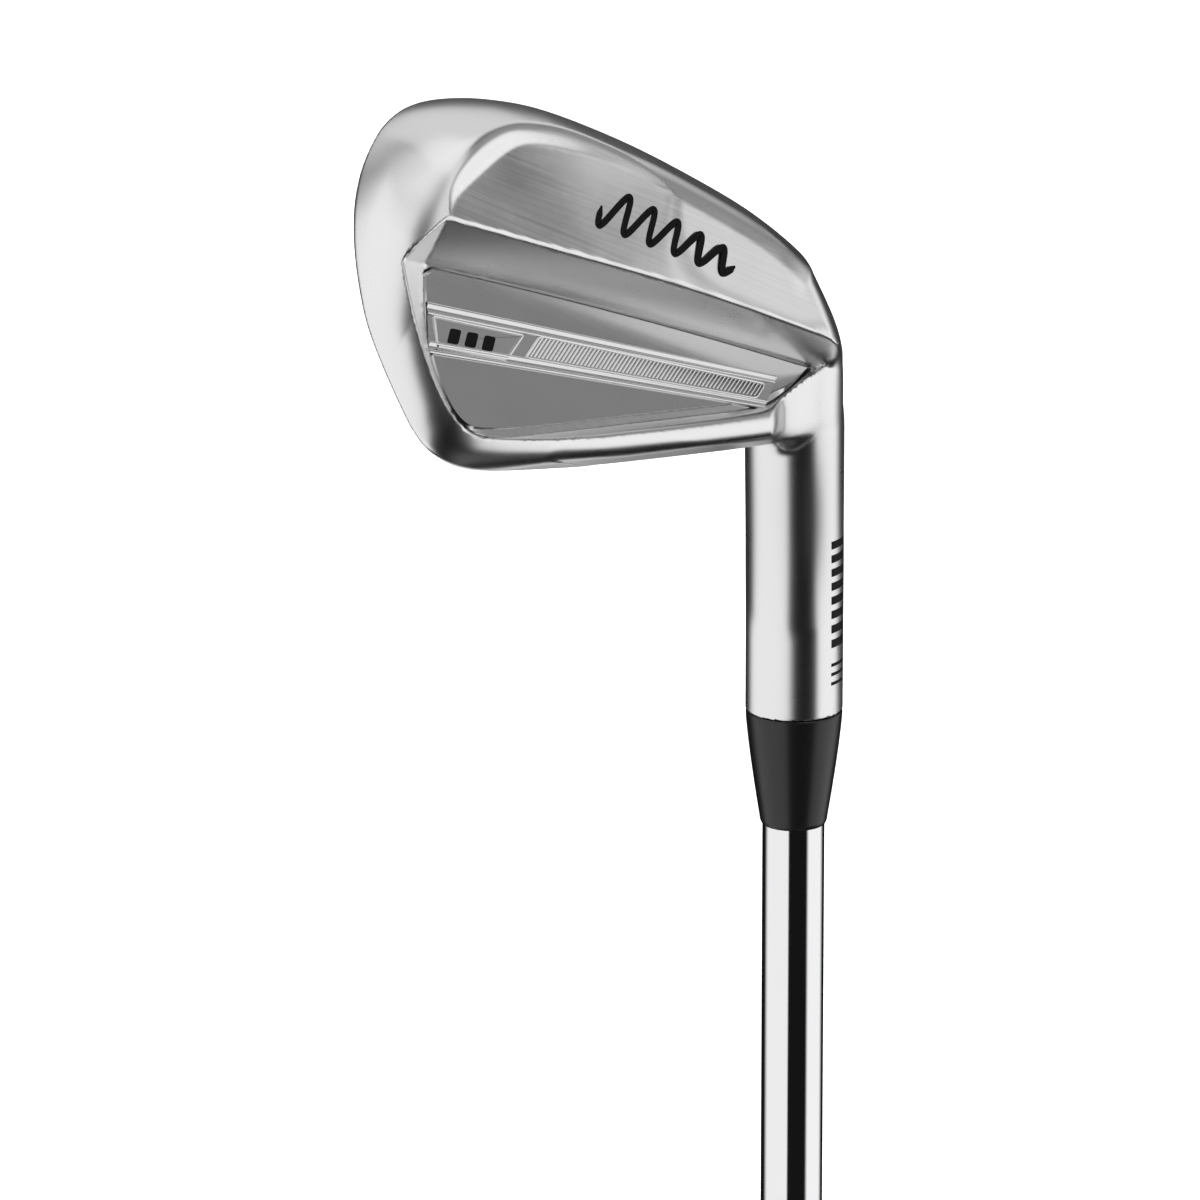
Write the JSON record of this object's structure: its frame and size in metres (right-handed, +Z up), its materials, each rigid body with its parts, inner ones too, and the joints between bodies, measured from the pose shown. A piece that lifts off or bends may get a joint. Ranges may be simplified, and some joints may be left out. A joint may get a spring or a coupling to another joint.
{
  "type": "iron golf club",
  "caption": "Right-handed cavity-back golf iron with satin chrome head, ribbed back plate, black ferrule, stepped steel shaft and rubber grip.",
  "frame": {"origin": "centre of the grip's flat butt face, on the shaft axis", "axes": "+Z up the shaft from the butt to the head, +Y the way the club face looks, +X from toe to heel"},
  "size_m": [0.0935, 0.0434, 0.9647],
  "materials": {
    "chrome_satin": "satin chrome plate over forged carbon steel, brushed muscle back",
    "face_steel": "blasted hitting area with machined score lines",
    "tungsten": "sintered tungsten",
    "plate_satin": "satin, matt lower facet and polished edges",
    "rib_steel": "fine machined ribs",
    "panel_steel": "satin",
    "bond_tape": "matt black foam tape",
    "ferrule_black": "turned and polished black",
    "epoxy": "cured adhesive",
    "tip_brass": "turned",
    "shaft_chrome": "mirror chrome",
    "band_film": "printed film",
    "grip_tape": "masking paper with adhesive",
    "grip_rubber": "matt moulded rubber",
    "cap_rubber": "matt moulded rubber"
  },
  "bodies": {
    "root": {"head_body": "chrome_satin", "face_insert": "face_steel", "toe_weight": "tungsten", "heel_weight": "tungsten", "back_plate": "plate_satin", "rib_inlay": "rib_steel", "panel_inlay": "panel_steel", "plate_bond_tape": "bond_tape", "ferrule": "ferrule_black", "hosel_epoxy": "epoxy", "tip_plug": "tip_brass", "shaft": "shaft_chrome", "shaft_band": "band_film", "grip_tape": "grip_tape", "grip_sleeve": "grip_rubber", "grip_cap": "cap_rubber"}
  },
  "joints": []
}
